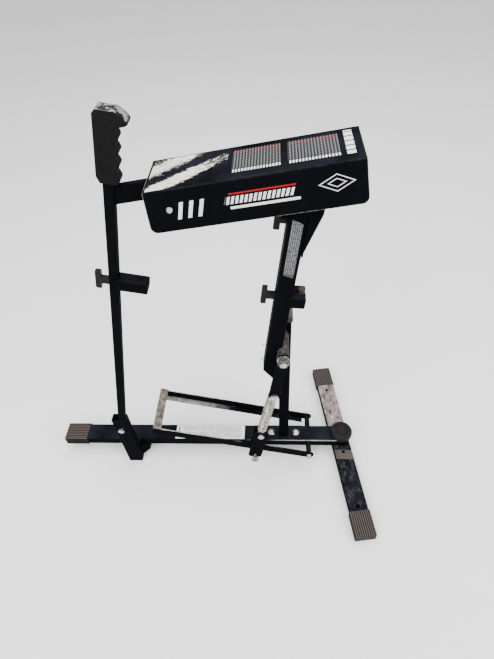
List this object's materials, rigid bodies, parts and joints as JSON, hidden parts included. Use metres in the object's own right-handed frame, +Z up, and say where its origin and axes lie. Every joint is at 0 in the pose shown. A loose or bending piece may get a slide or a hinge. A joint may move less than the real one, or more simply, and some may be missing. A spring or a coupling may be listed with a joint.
{
  "type": "pitching machine",
  "caption": "Foot-operated baseball pitching machine: swinging spring-loaded arm under a hood, upright handle, pedal and swivelling stabiliser bar.",
  "frame": {"origin": "on the floor, under the middle of the whole machine", "axes": "+X along the main bar towards the stabiliser, +Y to the far side of the bar, +Z up"},
  "size_m": [0.984, 0.6119, 1.1328],
  "materials": {
    "black_paint": "satin powder coat",
    "zinc": "zinc plated",
    "rubber": "matte",
    "moulded_plastic": "moulded",
    "hood_paint": "satin",
    "grey_cap": "dusty matte",
    "bare_steel": "worn bare",
    "spring_steel": "bright wire"
  },
  "bodies": {
    "frame": {"main_bar": "black_paint", "rear_cap": "grey_cap", "rear_foot": "black_paint", "handle_socket": "black_paint", "socket_bolt": "zinc", "handle_bar": "black_paint", "handle_grip": "rubber", "top_tube": "black_paint", "hood_bracket": "black_paint", "hood_shell": "hood_paint", "hood_rivets": "zinc", "post_base": "black_paint", "base_bolts": "zinc", "post": "black_paint", "post_cap": "grey_cap", "hub_axle": "zinc", "axle_nuts": "zinc", "axle_washers": "zinc", "hub_spacer": "zinc", "pivot_bolt": "zinc", "pivot_washer": "zinc", "pedal_axle": "zinc", "pedal_axle_nuts": "zinc", "pedal_spacers": "black_paint"},
    "stabiliser_leg": {"stabiliser": "black_paint", "stabiliser_cap_near": "grey_cap", "stabiliser_cap_far": "grey_cap"},
    "pivot_knob": {"stabiliser_knob": "moulded_plastic"},
    "bumper": {"cocking_bumper": "black_paint"},
    "bumper_tee": {"bumper_knob": "moulded_plastic", "bumper_stud": "zinc"},
    "arm": {"throwing_arm": "black_paint", "hub_sleeve": "bare_steel", "hub_bushings": "moulded_plastic", "crank_strap": "black_paint", "crank_bolt": "zinc", "arm_hooks": "zinc"},
    "stop": {"stop_block": "black_paint", "stop_bolt": "zinc"},
    "stop_tee": {"stop_knob": "moulded_plastic", "stop_stud": "zinc"},
    "cup": {"cup_bracket": "black_paint", "ball_cup": "moulded_plastic"},
    "cup_tee": {"cup_knob": "moulded_plastic", "cup_stud": "zinc"},
    "pedal": {"pedal_arm_near": "black_paint", "pedal_arm_far": "black_paint", "pedal_bushings": "moulded_plastic", "foot_tread": "bare_steel"},
    "spring_head": {"spring_top_hook": "spring_steel"},
    "spring_mid": {"spring_upper_coils": "spring_steel"},
    "spring_tail": {"spring_lower_coils": "spring_steel", "spring_bottom_hook": "spring_steel", "spring_clevis": "black_paint", "clevis_bolt": "zinc", "clevis_pin": "zinc", "pin_ring": "zinc"}
  },
  "joints": [
    {"name": "arm_swing", "type": "hinge", "parent": "frame", "child": "arm", "pos_m": [0.2252, -0.0474, 0.5615], "axis": [0, 1, 0], "range_deg": [-46, 5], "stiffness_Nm_per_rad": 20},
    {"name": "pedal_press", "type": "hinge", "parent": "frame", "child": "pedal", "pos_m": [0.31, 0.011, 0.0515], "axis": [0, 1, 0], "range_deg": [-15, 0], "stiffness_Nm_per_rad": 20},
    {"name": "stabiliser_swivel", "type": "hinge", "parent": "frame", "child": "stabiliser_leg", "pos_m": [0.416, 0.011, 0.016], "axis": [0, 0, 1], "range_deg": [-8.3, 81.7]},
    {"name": "pivot_knob_turn", "type": "hinge", "parent": "frame", "child": "pivot_knob", "pos_m": [0.416, 0.011, 0.075], "axis": [0, 0, 1], "continuous": true},
    {"name": "bumper_slide", "type": "slide", "parent": "frame", "child": "bumper", "axis": [0.2113, 0, 0.9774], "range_m": [-0.03, 0.03]},
    {"name": "bumper_tee_turn", "type": "hinge", "parent": "bumper", "child": "bumper_tee", "pos_m": [-0.13284, -0.0474, 0.77404], "axis": [0.9774, 0, -0.2113], "continuous": true},
    {"name": "stop_slide", "type": "slide", "parent": "arm", "child": "stop", "axis": [0.1253, 0, 0.9921], "range_m": [-0.018, 0.018]},
    {"name": "stop_tee_turn", "type": "hinge", "parent": "stop", "child": "stop_tee", "pos_m": [0.24563, -0.0474, 0.72322], "axis": [0.9921, 0, -0.1253], "continuous": true},
    {"name": "cup_slide", "type": "slide", "parent": "arm", "child": "cup", "axis": [0.1253, 0, 0.9921], "range_m": [-0.009, 0.009]},
    {"name": "cup_tee_turn", "type": "hinge", "parent": "cup", "child": "cup_tee", "pos_m": [0.26982, -0.0474, 0.91469], "axis": [0.9921, 0, -0.1253], "continuous": true},
    {"name": "spring_head_turn", "type": "hinge", "parent": "arm", "child": "spring_head", "pos_m": [0.20288, -0.075, 0.41514], "axis": [0, 1, 0], "range_deg": [-6.72, 61.81]},
    {"name": "spring_stretch", "type": "slide", "parent": "spring_head", "child": "spring_mid", "axis": [-0.1888, 0, -0.982], "range_m": [-0.00694, 0.06382], "deforming": ["spring_upper_coils"]},
    {"name": "spring_pull", "type": "slide", "parent": "spring_mid", "child": "spring_tail", "axis": [-0.1888, 0, -0.982], "range_m": [0, 0.04556], "deforming": ["spring_lower_coils"]}
  ],
  "couplings": [
    {"joint": "spring_head_turn", "follows": "arm_swing", "ratio": -1.3438},
    {"joint": "spring_stretch", "follows": "arm_swing", "m_per_rad": -0.07949},
    {"joint": "spring_pull", "follows": "pedal_press", "m_per_rad": -0.17403}
  ]
}
